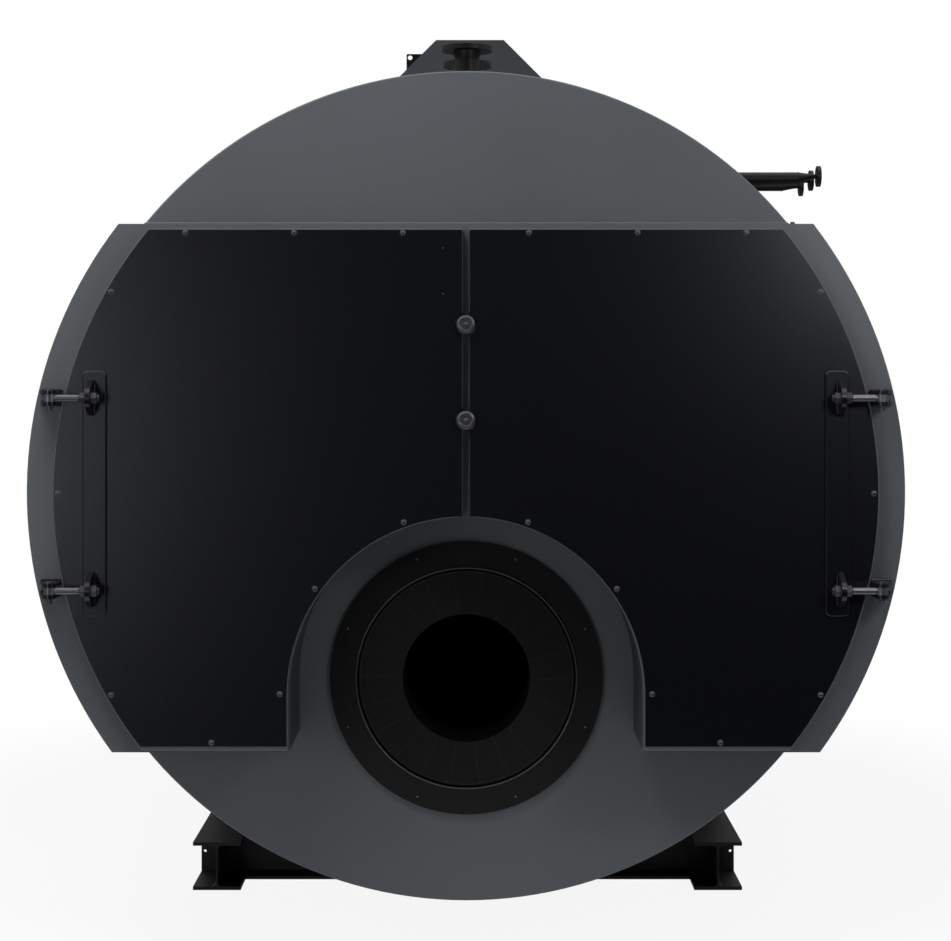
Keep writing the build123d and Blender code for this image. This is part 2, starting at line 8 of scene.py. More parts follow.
import bmesh
import bpy
import numpy as np
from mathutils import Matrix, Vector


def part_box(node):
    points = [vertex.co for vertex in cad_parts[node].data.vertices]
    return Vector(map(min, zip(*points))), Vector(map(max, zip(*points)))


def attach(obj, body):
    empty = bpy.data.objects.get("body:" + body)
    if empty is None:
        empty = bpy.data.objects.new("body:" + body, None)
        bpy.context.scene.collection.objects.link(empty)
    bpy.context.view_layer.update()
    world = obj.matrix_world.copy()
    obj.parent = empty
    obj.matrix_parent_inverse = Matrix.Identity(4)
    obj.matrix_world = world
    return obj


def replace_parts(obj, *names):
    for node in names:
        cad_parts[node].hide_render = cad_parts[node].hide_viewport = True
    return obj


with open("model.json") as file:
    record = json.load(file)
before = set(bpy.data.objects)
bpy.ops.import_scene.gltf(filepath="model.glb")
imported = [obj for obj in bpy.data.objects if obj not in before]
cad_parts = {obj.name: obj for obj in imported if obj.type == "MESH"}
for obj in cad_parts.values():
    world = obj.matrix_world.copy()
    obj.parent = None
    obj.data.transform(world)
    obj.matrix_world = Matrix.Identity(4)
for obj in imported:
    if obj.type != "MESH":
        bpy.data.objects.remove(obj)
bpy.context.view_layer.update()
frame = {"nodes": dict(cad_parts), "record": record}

TURN = 2 * np.pi
QUARTER = np.pi / 2
SIDES = {"left": -1, "right": 1}


def span(node_name):
    """Lowest and highest corner of a model node, as arrays."""
    low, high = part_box(node_name)
    return np.array(low), np.array(high)


# Places read from the model
JACKET_LOW, JACKET_HIGH = span("shell_jacket")
AXIS_Z = (JACKET_LOW[2] + JACKET_HIGH[2]) / 2
SHELL_R = (JACKET_HIGH[0] - JACKET_LOW[0]) / 2
DISC_Y = span("front_cladding")[0][1]
BURNER_LOW, BURNER_HIGH = span("burner_plate")
BURNER_Z = (BURNER_LOW[2] + BURNER_HIGH[2]) / 2
FRAME_Y = span("smokebox_frame")[0][1]
PANEL_Y = span("left_door_panel")[0][1]
DOOR_BACK_Y = span("left_door_body")[1][1]
LINING_Y = span("left_door_lining")[1][1]
KNOB_LOW, KNOB_HIGH = span("door_clamp_knobs")
PIN_LOW, PIN_HIGH = span("right_hinge_pins")
PIN_X = (PIN_LOW[0] + PIN_HIGH[0]) / 2
PIN_Y = (PIN_LOW[1] + PIN_HIGH[1]) / 2
TUBE_PLATE_Y = span("front_tube_plate")[0][1]

# Directions
FORWARD = np.array([0.0, -1.0, 0.0])
BACKWARD = np.array([0.0, 1.0, 0.0])
UP = np.array([0.0, 0.0, 1.0])
RIGHT = np.array([1.0, 0.0, 0.0])
FACING_FRONT = np.array([RIGHT, UP, FORWARD])
FACING_BACK = np.array([-RIGHT, UP, BACKWARD])

# Meshes: merging distances, and how far small pieces sink into what carries them
MERGE_DISTANCE = 2e-6
SHORTEST_EDGE = 1e-7
SINK = 0.001

# Cover screws of the doors
SCREW_R = 0.0122
SCREW_WASHER_H = 0.002
SCREW_WASHER_EDGE_H = 0.0012
SCREW_WASHER_TOP_R = 0.011468
SCREW_HEAD_R = 0.0098
SCREW_HEAD_H = 0.006
SCREW_DIMPLE_R = 0.003
SCREW_DIMPLE_FOOT_R = 0.0024
SCREW_DIMPLE_FOOT_H = 0.0048
SCREW_DIMPLE_MIDDLE_H = 0.0044
SCREW_SIDES = 20
SCREWS_IN_ROW = 3
SCREW_TOP_X = 0.242
SCREW_TOP_STEP = 0.4175
SCREW_TOP_RISE = 1.000
SCREW_RIM_R = 1.566
SCREW_RIM_ANGLE = np.radians(29.6)
SCREW_FOOT = (0.977, -0.957)
SCREW_ARCH_R = 0.715
SCREW_ARCH_START = np.radians(19.5)
SCREW_ARCH_STEP = np.radians(34.7)
DOOR_RIVETS = ((-0.088, 0.942), (-0.088, 0.766))
DOOR_RIVET_SCALE = 0.7

# Clamp knobs on the centre post
KNOB_R = 0.037
KNOB_STUD_R = 0.013
KNOB_SEAT = 0.068
KNOB_BEVEL = 0.002
KNOB_RIM = 0.078
KNOB_CROWN = 0.091
KNOB_FACE_R = 0.025
KNOB_FACE_DROP = 0.0006
KNOB_RECESS = 0.0025
KNOB_NUB_FOOT_R = 0.010
KNOB_NUB_R = 0.009
KNOB_TIP = 0.0945
KNOB_SIDES = 40

# Hinges
HINGE_RISE = 0.367
EAR_GAP = 0.030
EAR_T = 0.013
EAR_IN = 0.026
EAR_OUT = 0.060
EAR_WELD_LEG = 0.005
EAR_WELD_START = 0.006
EAR_WELD_END = 0.002
PIN_TAIL = 0.020
SPLIT_WIRE_R = 0.0017
SPLIT_WIRE_SIDES = 8
SPLIT_GAP = 1.15 * SPLIT_WIRE_R
SPLIT_EYE_R = 0.0052
SPLIT_LEG = 0.016
SPLIT_BEND_R = 0.009
SPLIT_SPREAD = np.radians(65)
SPLIT_TIP = 0.006
SPLIT_BEND_STATIONS = 8
SPLIT_EYE_STATIONS = 25
LUG_X = 1.435417
LUG_T = 0.019
LUG_BASE = 0.134
LUG_WELD_LEG = 0.006
NUT_REACH = 0.037
STRAP_T = 0.012
STRAP_FRONT_Y = PANEL_Y - STRAP_T

# Door seal and lining anchors
DOOR_R = 1.589
DOOR_TOP = 1.019
DOOR_BOTTOM = -0.988
DOOR_ARCH_R = 0.685
TUNNEL_DROP = 0.776
DOOR_LAP = 0.065
POST_HALF = 0.060
SEAL_OFFSET = 0.0225
SEAL_R = 0.012
SEAL_RELIEF = 0.08
SEAL_STRANDS = 4
SEAL_LAY = 0.055
SEAL_STEP = 0.008
SEAL_SIDES = 16
SEAL_ROUNDING = 0.06
OUTER_STATIONS = 200
ARCH_STATIONS = 120
ANCHOR_CUP = ((0, -0.002), (0.028, -0.002), (0.028, 0.002), (0.026, 0.004), (0.014, 0.003), (0.010, 0.003),
              (0.010, 0.010))
ANCHOR_STUD_R = 0.006
ANCHOR_STUD_H = 0.008
ANCHOR_SIDES = 18
ANCHOR_PITCH = 0.31
ANCHOR_SHIFT = 0.02
ANCHOR_COLUMNS = np.arange(1, 6)
ANCHOR_ROWS = np.arange(-3, 4)
ANCHOR_MARGIN = 0.10
LINING_INSET = 0.110

# Jacket sheets
COURSES = 5
SHEET_DROP = 0.004
SHEET_T = 0.016
SHEET_R = SHELL_R - SHEET_DROP
JACKET_SIDES = 288
LAP_RISE = 0.0015
LAP_W = 0.034
LAP_R = SHEET_R + LAP_RISE
JOGGLE = 0.012
RIVET_R = 0.0045
RIVET_H = 0.0022
RIVET_SIDES = 8
RIVETS_AROUND = 84
SEAM_ANGLES = (np.radians(-38), np.radians(-52))
SEAM_HALF = 0.010
SEAM_SHOULDER_H = 0.7 * LAP_RISE
SEAM_FLAT = 0.9
SEAM_END_GAP = 0.004
SEAM_RIVETS = 8

# Nozzles
CROWN_PIPE_R = 0.054
CROWN_FLANGE_T = 0.020
CROWN_FACE_H = 0.003
CROWN_NECK = 0.030
CROWN_WELD_GAP = 0.004
SIDE_PIPE_R = (0.0285, 0.01685, 0.01685, 0.01685)
SIDE_PIPE_DROP = (0.0096, 0.0062, 0.0062, 0.0062)
SIDE_END_R = 0.01065
SIDE_REDUCER_START = 0.102
SIDE_REDUCER_END = 0.039
COLLAR_FIT = 0.0004
COLLAR_W = 0.046
COLLAR_T = 0.0022
COLLAR_BEVEL = 0.002
COLLAR_SINK = 0.006
COLLAR_LIP_H = 0.010
COLLAR_LIP_W = 0.004
COLLAR_LIP_FOOT = 0.009
COLLAR_SIDES = 64

# Tubes, burner and base
TUBE_PITCH = 0.176
TUBE_DEPTH = 0.022
TUBE_FLOOR_FIT = 1e-4
TUBE_BORE_R = 0.034
TUBE_OUT_R = 0.043
TUBE_SHOULDER_R = 0.03999
TUBE_SHOULDER_H = 0.004
TUBE_CREST_H = 0.006
TUBE_EDGE = 0.002
TUBE_ROOT = 0.016
TUBE_SIDES = 12
BURNER_BOLT_R = 0.525
BURNER_BOLTS = 8
BURNER_BOLT_HOLE_R = 0.009
BURNER_BOLT_SIDES = 16
BURNER_SEAT_DEPTH = 0.003
BURNER_SEAT_T = 0.003
BURNER_STUD_R = 0.005
BURNER_STUD_H = 0.004
BURNER_LIP_R = 0.4535
BURNER_LIP_W = 0.006
BURNER_LIP_H = 0.005
BURNER_LIP_CROWN = 0.0025
BURNER_LIP_SIDES = 160
BEAM_X = 1.154
BEAM_HALF = 0.110
BEAM_DEPTH = 0.220
SADDLE_HALF_T = 0.010
SADDLE_RIB_HALF = 0.090
SADDLE_WELD_LEG = 0.008

# Rear end
REAR_RIVETS = 60
REAR_RIVET_IN = 0.035
REAR_RIVET_CLEAR = 0.03
REAR_WELD_LEG = 0.008
REAR_SEAM_RISE = 0.002
REAR_SEAM_HALF = 0.006

# Weld beads
WELD_RIPPLE = 0.009
WELD_SWELL = 0.12
WELD_STATIONS = 4
WELD_END_GAP = 0.004
FILLET_ROUND = 0.75
FILLET_ROOT = 0.15
PIPE_WELD_RISE = 0.0009
PIPE_WELD_HALF = 0.003

# Finishes
DRIFT_SCALE = 1.3
DRIFT_DETAIL = 3
GRAIN_DETAIL = 2
ROUGHNESS_SWING = 0.04
EDGE_FADE = 0.002
COOL = (0.94, 0.97, 1.06)
GLOSS_BLACK = (0.0028, 0.0030, 0.0037)

# Camera, as found from the photo's vanishing point
CAMERA_X = 0.037
CAMERA_BACK = 8.0
CAMERA_Z = 2.394
IMAGE_W = 951
FOCAL_PX = 1953.1
VANISHING_RISE_PX = 100.5
SENSOR_MM = 36.0

# Studio: strengths, and the stretches of a direction's x, y or z over which they change
FLOOR_R = 4.4
FLOOR_RINGS = 24
FLOOR_SIDES = 96
FLOOR_PALE = ((0.78, 0.78, 0.78), (0.82, 0.82, 0.82))
FLOOR_GRAIN = 40
FLOOR_GLOW_SHARE = 0.90
FLOOR_GLOW_FADE = (2.6, FLOOR_R - 0.2)
FLOOR_MIRRORED = 0.25
BACKDROP_WHITE = 1.0
AMBIENT = 0.17
AMBIENT_BELOW = 0.58
AMBIENT_ASIDE = 0.14
AMBIENT_BEHIND = 0.70
AMBIENT_TINT = (0.93, 1.0, 1.07)
MIRRORED_FRONT = 0.008
MIRRORED_CEILING = 1.4
MIRRORED_SIDES = 0.12
MIRRORED_BEHIND = 0.6
FRONT_FADE = (-0.8, -0.35)
BEHIND_FADE = (0.15, 0.5)
CEILING_FADE = (0.1, 0.5)
ASIDE_FADE = (0.2, 0.6)
HORIZON_FADE = (-0.1, 0.1)


# Node helpers

def link(tree, source, target):
    """Joins an output socket to an input socket."""
    tree.links.new(source, target)


def node(tree, kind, **values):
    """New shader node; keyword values set its properties."""
    made = tree.nodes.new(kind)
    for key, value in values.items():
        setattr(made, key, value)
    return made


def object_point(tree):
    """Object coordinates, which on every piece are the model's own metres."""
    return node(tree, "ShaderNodeTexCoord").outputs["Object"]


def separate(tree, point):
    """The x, y and z sockets of a point or direction."""
    made = node(tree, "ShaderNodeSeparateXYZ")
    link(tree, point, made.inputs["Vector"])
    return made.outputs["X"], made.outputs["Y"], made.outputs["Z"]


def noise(tree, scale, detail):
    """Noise value in 0..1 at a feature size of about 1 / scale metres."""
    made = node(tree, "ShaderNodeTexNoise")
    made.inputs["Scale"].default_value = scale
    made.inputs["Detail"].default_value = detail
    link(tree, object_point(tree), made.inputs["Vector"])
    return made.outputs["Fac"]


def feed(tree, socket, value):
    """Gives a socket a plain number or colour, or links another socket to it."""
    if isinstance(value, tuple):
        socket.default_value = (*value, 1)
    elif isinstance(value, (int, float)):
        socket.default_value = value
    else:
        link(tree, value, socket)


def math(tree, operation, first, second=0.0):
    """One arithmetic step on sockets or plain numbers."""
    made = node(tree, "ShaderNodeMath", operation=operation)
    feed(tree, made.inputs[0], first)
    feed(tree, made.inputs[1], second)
    return made.outputs["Value"]


def distance(tree, first, second):
    """sqrt(a a + b b) of two sockets."""
    squares = [math(tree, "MULTIPLY", value, value) for value in (first, second)]
    return math(tree, "SQRT", math(tree, "ADD", *squares))


def remap(tree, value, low, high, from_low=0.25, from_high=0.75):
    """Value moved from one range to another, clamped."""
    made = node(tree, "ShaderNodeMapRange", clamp=True)
    made.inputs["From Min"].default_value = from_low
    made.inputs["From Max"].default_value = from_high
    made.inputs["To Min"].default_value = low
    made.inputs["To Max"].default_value = high
    link(tree, value, made.inputs["Value"])
    return made.outputs["Result"]


def two_tone(tree, amount, first, second):
    """Colour between two colours by an amount in 0..1; a colour may be a socket."""
    made = node(tree, "ShaderNodeMix", data_type="RGBA")
    feed(tree, made.inputs["A"], first)
    feed(tree, made.inputs["B"], second)
    link(tree, amount, made.inputs["Factor"])
    return made.outputs["Result"]


def blend(tree, amount, first, second):
    """Number between two numbers or sockets by an amount in 0..1."""
    made = node(tree, "ShaderNodeMix")
    feed(tree, made.inputs["A"], first)
    feed(tree, made.inputs["B"], second)
    link(tree, amount, made.inputs["Factor"])
    return made.outputs["Result"]


def bump(tree, height, reach):
    """Normal of a surface raised by height times reach."""
    made = node(tree, "ShaderNodeBump")
    made.inputs["Distance"].default_value = reach
    made.inputs["Strength"].default_value = 1.0
    link(tree, height, made.inputs["Height"])
    return made.outputs["Normal"]


def shade(colour, factor):
    """A colour made darker or lighter by a factor."""
    return tuple(c * factor for c in colour)


# Finishes

def finish(name, specular=0.5, tint=(1.0, 1.0, 1.0)):
    """Empty finish: its material, tree and main shader, with the constants on the shader's own sockets."""
    made = bpy.data.materials.new(name)
    made.use_nodes = True
    tree = made.node_tree
    shader = tree.nodes["Principled BSDF"]
    shader.inputs["Specular IOR Level"].default_value = specular
    shader.inputs["Specular Tint"].default_value = (*tint, 1)
    return made, tree, shader


def film(tree, shader, colour, roughness, grain_scale, grain_height, drift=0.05, speckle=0.05):
    """Sprayed film on a shader: broad drift of tone, fine speckle, and a grain that roughens and bumps it."""
    broad = remap(tree, noise(tree, DRIFT_SCALE, DRIFT_DETAIL), 0, 1)
    fine = remap(tree, noise(tree, grain_scale, GRAIN_DETAIL), 0, 1)
    low, high = (
        two_tone(tree, fine, shade(colour, level * (1 - speckle)), shade(colour, level * (1 + speckle)))
        for level in (1 - drift, 1 + drift))
    tone = two_tone(tree, broad, low, high)
    rough = remap(tree, fine, roughness - ROUGHNESS_SWING, roughness + ROUGHNESS_SWING, 0, 1)
    link(tree, tone, shader.inputs["Base Color"])
    link(tree, rough, shader.inputs["Roughness"])
    link(tree, bump(tree, fine, grain_height), shader.inputs["Normal"])
    return tone


def paint(name, colour, roughness, grain_scale, grain_height, specular=0.5, speckle=0.05,
          tint=(1.0, 1.0, 1.0)):
    """Sprayed paint."""
    made, tree, shader = finish(name, specular, tint)
    film(tree, shader, colour, roughness, grain_scale, grain_height, speckle=speckle)
    return made


def refractory(name):
    """Cast throat blocks: radial joints every 1/22 turn and one round joint, as pale lines by distance,
    and painted shade in the bore: its wall darkened to stand in for the shade of the deep throat."""
    colour, joint, bore_shade = (0.0085, 0.0086, 0.009), (0.018, 0.018, 0.019), (0.003, 0.003, 0.0036)
    joints, first_joint, half_line, ring_r = 22, np.radians(7.2), 0.0011, 0.4335
    bore_r, block_r = 0.2605, 0.45
    made, tree, shader = finish(name, specular=0.2)
    tone = film(tree, shader, colour, roughness=0.85, grain_scale=130, grain_height=0.0012,
                drift=0.12, speckle=0.25)
    x, _, z = separate(tree, object_point(tree))
    rise = math(tree, "SUBTRACT", z, BURNER_Z)
    radius = distance(tree, x, rise)
    from_top = math(tree, "ARCTAN2", math(tree, "MULTIPLY", x, -1.0), rise)
    from_joint = math(tree, "ADD", from_top, TURN - first_joint)
    blocks = math(tree, "MULTIPLY", from_joint, joints / TURN)
    along_block = math(tree, "FRACT", math(tree, "ADD", blocks, 0.5))
    off_middle = math(tree, "ABSOLUTE", math(tree, "SUBTRACT", along_block, 0.5))
    off_joint = math(tree, "MULTIPLY", off_middle, TURN / joints)
    off_radial = math(tree, "MULTIPLY", off_joint, radius)
    off_ring = math(tree, "ABSOLUTE", math(tree, "SUBTRACT", radius, ring_r))
    off_line = math(tree, "MINIMUM", off_radial, off_ring)
    line = remap(tree, off_line, 1, 0, half_line, 2 * half_line)
    on_block = math(tree, "MULTIPLY", line, math(tree, "LESS_THAN", radius, block_r))
    # painted shade: inside the bore radius the wall takes a near-black colour for the deep throat's shade
    faced = remap(tree, radius, 0, 1, bore_r, bore_r + EDGE_FADE)
    jointed = two_tone(tree, on_block, tone, joint)
    link(tree, two_tone(tree, faced, bore_shade, jointed), shader.inputs["Base Color"])
    return made


def eyebolt_steel(name):
    """Dark forged nuts and a turned bare rod and eye, parted by the distance from the middle plane."""
    dark, bare_metal, grain_scale = (0.024, 0.0245, 0.026), (0.21, 0.21, 0.22), 300
    dark_roughness, bare_roughness = (0.28, 0.36), (0.42, 0.48)
    nut_end = LUG_X + NUT_REACH
    made, tree, shader = finish(name, specular=0.55)
    tone = film(tree, shader, dark, roughness=0.32, grain_scale=grain_scale, grain_height=0.00001)
    x, _, _ = separate(tree, object_point(tree))
    bare = remap(tree, math(tree, "ABSOLUTE", x), 0, 1, nut_end, nut_end + EDGE_FADE)
    fine = noise(tree, grain_scale, GRAIN_DETAIL)
    rough = blend(tree, bare, remap(tree, fine, *dark_roughness), remap(tree, fine, *bare_roughness))
    link(tree, rough, shader.inputs["Roughness"])
    link(tree, bare, shader.inputs["Metallic"])
    link(tree, two_tone(tree, bare, tone, bare_metal), shader.inputs["Base Color"])
    return made


def jacket_paint(name):
    """Grey sprayed paint, with painted shade: darker on the doors' two meeting edges at the centre gap,
    standing in for the shade of the slot between the doors.
    """
    grey, gap_shade_grey = (0.100, 0.107, 0.1145), (0.035, 0.036, 0.038)
    half_gap, edge_depth, top_rim = 0.032, 0.020, 0.014
    edge_y, edge_top = PANEL_Y + edge_depth, AXIS_Z + DOOR_TOP - top_rim
    made, tree, shader = finish(name, specular=0.4)
    tone = film(tree, shader, grey, roughness=0.45, grain_scale=260, grain_height=0.0001)
    x, y, z = separate(tree, object_point(tree))
    # painted shade: the meeting edges at the centre gap are darkened as if shaded by the slot between the
    # doors
    near = remap(tree, math(tree, "ABSOLUTE", x), 1, 0, half_gap, half_gap + EDGE_FADE)
    front = remap(tree, y, 1, 0, edge_y, edge_y + EDGE_FADE)
    under = remap(tree, z, 1, 0, edge_top, edge_top + EDGE_FADE)
    edge = math(tree, "MULTIPLY", math(tree, "MULTIPLY", near, front), under)
    link(tree, two_tone(tree, edge, tone, gap_shade_grey), shader.inputs["Base Color"])
    return made


FINISHES = {
    "jacket_grey": jacket_paint("jacket_grey"),
    "door_black": paint("door_black", GLOSS_BLACK, roughness=0.31, grain_scale=230, grain_height=0.0001,
                        specular=0.6, speckle=0.1, tint=COOL),
    "hinge_black": paint("hinge_black", GLOSS_BLACK, roughness=0.31, grain_scale=120, grain_height=0.00001,
                         specular=0.6, speckle=0.02, tint=COOL),
    "bolt_steel": paint("bolt_steel", (0.036, 0.0365, 0.038), roughness=0.30, grain_scale=300,
                        grain_height=0.00001, specular=1.0),
    "burner_black": paint("burner_black", (0.0045, 0.0046, 0.0052), roughness=0.55, grain_scale=260,
                          grain_height=0.0002, specular=0.3),
    "refractory": refractory("refractory"),
    "boiler_plate": paint("boiler_plate", (0.05, 0.048, 0.046), roughness=0.7, grain_scale=60,
                          grain_height=0.0006),
    "nozzle_black": paint("nozzle_black", (0.003, 0.003, 0.0034), roughness=0.45, grain_scale=260,
                          grain_height=0.00001, specular=0.4),
    "base_black": paint("base_black", (0.0048, 0.0048, 0.0052), roughness=0.5, grain_scale=200,
                        grain_height=0.00005, specular=0.3),
}
NODE_FINISHES = dict.fromkeys([f"{name}_eyebolts" for name in SIDES], eyebolt_steel("eyebolt_steel"))
# painted shade: the tunnel walls get a darker bluish grey standing in for the shade inside the tunnel
NODE_FINISHES["smokebox_tunnel"] = paint("tunnel_painted_shade", (0.037, 0.041, 0.046), roughness=0.55,
                                         grain_scale=260, grain_height=0.0001, specular=0.3)
for row in frame["record"]["subparts"]:
    node_mesh = frame["nodes"][row["node"]].data
    node_mesh.materials.clear()
    node_mesh.materials.append(NODE_FINISHES.get(row["node"], FINISHES[row["material_slot"]]))


# Surfaces

def points_of(x, y, z):
    """Points (x, y, z) from numbers and arrays that spread over one another."""
    return np.stack(np.broadcast_arrays(x, y, z), -1)


def even_turns(count, offset=0.0):
    """Even turns round a circle: (i + offset) 2 pi / count."""
    return (np.arange(count) + offset) * TURN / count


def ring(radius, turn):
    """Flat points (r cos t, r sin t)."""
    return radius * np.stack([np.cos(turn), np.sin(turn)], 1)


def arc(centre, width, height, end, count):
    """Ellipse arc from turn 0 to its end: (c0 + width cos t, c1 + height sin t)."""
    turn = np.linspace(0, end, count)
    return np.stack([centre[0] + width * np.cos(turn), centre[1] + height * np.sin(turn)], 1)


def surface(points, rows_closed):
    """Grid of points whose rows are closed rings, and the quads between neighbours; closed rows also join the
    last ring to the first."""
    rows, columns = points.shape[:2]
    i = np.arange(rows if rows_closed else rows - 1)[:, None]
    j = np.arange(columns)
    k = (i + 1) % rows
    n = (j + 1) % columns
    corners = np.broadcast_arrays(i * columns + j, i * columns + n, k * columns + n, k * columns + j)
    return points.reshape(-1, 3), np.stack(corners, -1).reshape(-1, 4)


def turned(profile, sides):
    """Surface of revolution about local z: (r cos a, r sin a, h) for profile rows (r, h) and turn a."""
    profile = np.asarray(profile, float)
    turn = even_turns(sides)
    radius, height = profile[:, :1], profile[:, 1:]
    return surface(points_of(radius * np.cos(turn), radius * np.sin(turn), height), False)


def copies(shape, places, axes):
    """A shape repeated: place + x axes[0] + y axes[1] + z axes[2] for each place; axes may be one set or
    many, and their length scales the shape."""
    points, quads = shape
    places = np.asarray(places, float)
    axes = np.broadcast_to(axes, (len(places), 3, 3))
    moved = np.einsum("pk,nkd->npd", points, axes) + places[:, None]
    shift = np.arange(len(places))[:, None, None] * len(points)
    return moved.reshape(-1, 3), (quads[None] + shift).reshape(-1, 4)


def swept(path, side, up, profile, closed, scale=None):
    """Profile carried along a path: path(s) + scale(s) (u side(s) + v up(s)); open ends close to a point."""
    side, up = np.broadcast_to(side, path.shape), np.broadcast_to(up, path.shape)
    scale = np.ones(len(path)) if scale is None else scale
    if not closed:
        path, side, up = (np.concatenate([rows[:1], rows, rows[-1:]]) for rows in (path, side, up))
        scale = np.concatenate([[0], scale, [0]])
    u, v = profile[None, :, :1], profile[None, :, 1:]
    return surface(path[:, None] + scale[:, None, None] * (u * side[:, None] + v * up[:, None]), closed)


def merged_mesh(name, points, quads):
    """Mesh of points and quads with doubles merged and faces turned outward."""
    made = bpy.data.meshes.new(name)
    made.from_pydata(points, [], quads)
    work = bmesh.new()
    work.from_mesh(made)
    bmesh.ops.remove_doubles(work, verts=work.verts, dist=MERGE_DISTANCE)
    bmesh.ops.dissolve_degenerate(work, edges=work.edges, dist=SHORTEST_EDGE)
    bmesh.ops.recalc_face_normals(work, faces=work.faces)
    work.to_mesh(made)
    work.free()
    return made


def add_object(name, data):
    """Object of a mesh, lamp or camera at the origin of the scene."""
    made = bpy.data.objects.new(name, data)
    bpy.context.collection.objects.link(made)
    return made


def piece(name, shapes, slot, body="boiler", sharp=40):
    """Smooth mesh object of one shape or a list of shapes, in a slot's finish, riding a body."""
    shapes = shapes if isinstance(shapes, list) else [shapes]
    starts = np.cumsum([0] + [len(points) for points, _ in shapes])
    all_points = np.concatenate([points for points, _ in shapes])
    all_quads = np.concatenate([quads + start for (_, quads), start in zip(shapes, starts)])
    made_mesh = merged_mesh(name, all_points, all_quads)
    made_mesh.polygons.foreach_set("use_smooth", np.ones(len(made_mesh.polygons), bool))
    made_mesh.set_sharp_from_angle(angle=np.radians(sharp))
    made_mesh.materials.append(FINISHES[slot])
    made = add_object(name, made_mesh)
    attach(made, body)
    return made


# Welds

def run_lengths(line):
    """Distance run along a line at each of its points."""
    return np.concatenate([[0], np.cumsum(np.linalg.norm(np.diff(line, axis=0), axis=1))])


def ripples(path):
    """Swelling along a weld: 1 + swell |sin(pi s / ripple)| for the distance s run along it."""
    return 1 + WELD_SWELL * np.abs(np.sin(np.pi * run_lengths(path) / WELD_RIPPLE))


def run_between(start, end):
    """Stations along a straight weld, a few to each ripple."""
    start, end = np.asarray(start, float), np.asarray(end, float)
    count = int(np.linalg.norm(end - start) / WELD_RIPPLE * WELD_STATIONS) + 2
    return start + np.linspace(0, 1, count)[:, None] * (end - start)


def fillet_bead(path, side, up, leg):
    """Fillet weld in a corner: profile leg (1 - round + round (cos t, sin t)) from one face to the other,
    closed by a root point in the corner, carried along the path and rippled."""
    middle = (1 - FILLET_ROUND, 1 - FILLET_ROUND)
    round_face = arc(middle, FILLET_ROUND, FILLET_ROUND, QUARTER, count=5)
    profile = leg * np.concatenate([round_face, [(-FILLET_ROOT, -FILLET_ROOT)]])
    return swept(path, side, up, profile, False, ripples(path))


def bead_section(rise, half):
    """Butt weld section: half-ellipse of a rise and a half width, with its root just under the surface."""
    return np.concatenate([arc((0, 0), half, rise, np.pi, count=7)[:, ::-1], [(-SINK, 0)]])


def pipe_bead(centre, first, second, axis, radius):
    """Weld round a pipe: butt section carried round centre + r (cos t first + sin t second), rippled."""
    turn = even_turns(int(TURN * radius / WELD_RIPPLE * WELD_STATIONS))
    out = np.cos(turn)[:, None] * first + np.sin(turn)[:, None] * second
    path = centre + radius * out
    return swept(path, out, axis, bead_section(PIPE_WELD_RISE, PIPE_WELD_HALF), True, ripples(path))


# Doors

def rivet_shape():
    """Rivet head: turned quarter-ellipse on a flat foot."""
    head = arc((0, 0), RIVET_R, RIVET_H, QUARTER, count=4)
    return turned(np.concatenate([[(0, -SINK)], head]), RIVET_SIDES)


def screw_shape():
    """Button head on a washer: turned profile, a quarter-ellipse crown with a dimple in the middle."""
    crown_middle = (SCREW_DIMPLE_R, SCREW_WASHER_H)
    profile = np.concatenate([
        [(0, -SINK), (SCREW_R, -SINK), (SCREW_R, SCREW_WASHER_EDGE_H), (SCREW_WASHER_TOP_R, SCREW_WASHER_H)],
        arc(crown_middle, SCREW_HEAD_R - SCREW_DIMPLE_R, SCREW_HEAD_H, QUARTER, count=7),
        [(SCREW_DIMPLE_FOOT_R, SCREW_DIMPLE_FOOT_H), (0, SCREW_DIMPLE_MIDDLE_H)],
    ])
    return turned(profile, SCREW_SIDES)


def screw_places(side):
    """One door's cover screws: an even row on top, an even turn on the rim, one at the foot, a turn on the
    arch."""
    step = np.arange(SCREWS_IN_ROW)
    top = np.stack([SCREW_TOP_X + SCREW_TOP_STEP * step, np.full(SCREWS_IN_ROW, SCREW_TOP_RISE)], 1)
    rim = ring(SCREW_RIM_R, SCREW_RIM_ANGLE * (step - 1))
    arch = ring(SCREW_ARCH_R, SCREW_ARCH_START + SCREW_ARCH_STEP * step)[:, ::-1] + (0, BURNER_Z - AXIS_Z)
    x, rise = np.concatenate([top, rim, [SCREW_FOOT], arch]).T
    return points_of(side * x, PANEL_Y, AXIS_Z + rise)


def door_loop(side, inset, post_half, step, rounding):
    """Closed line round a door opening, in (x, z): top, outer round, foot, tunnel side, arch and post, with
    the corners rounded by a running mean along the line."""
    outer, top, foot, arch = DOOR_R - inset, DOOR_TOP - inset, DOOR_BOTTOM + inset, DOOR_ARCH_R + inset
    outer_turn = np.linspace(np.arcsin(top / outer), np.arcsin(foot / outer), OUTER_STATIONS)
    arch_turn = np.linspace(0, np.arccos(post_half / arch), ARCH_STATIONS)
    corners = np.concatenate([
        [(post_half, top)],
        ring(outer, outer_turn),
        [(arch, foot)],
        ring(arch, arch_turn) - (0, TUNNEL_DROP),
        [(post_half, top)],
    ])
    run = run_lengths(corners)
    count = int(run[-1] / step)
    even = np.arange(count) * run[-1] / count
    line = np.stack([np.interp(even, run, corners[:, 0]), np.interp(even, run, corners[:, 1])], 1)
    reach = int(rounding / step / 2)
    line = sum(np.roll(line, shift, axis=0) for shift in range(-reach, reach + 1)) / (2 * reach + 1)
    return line * (side, 1)


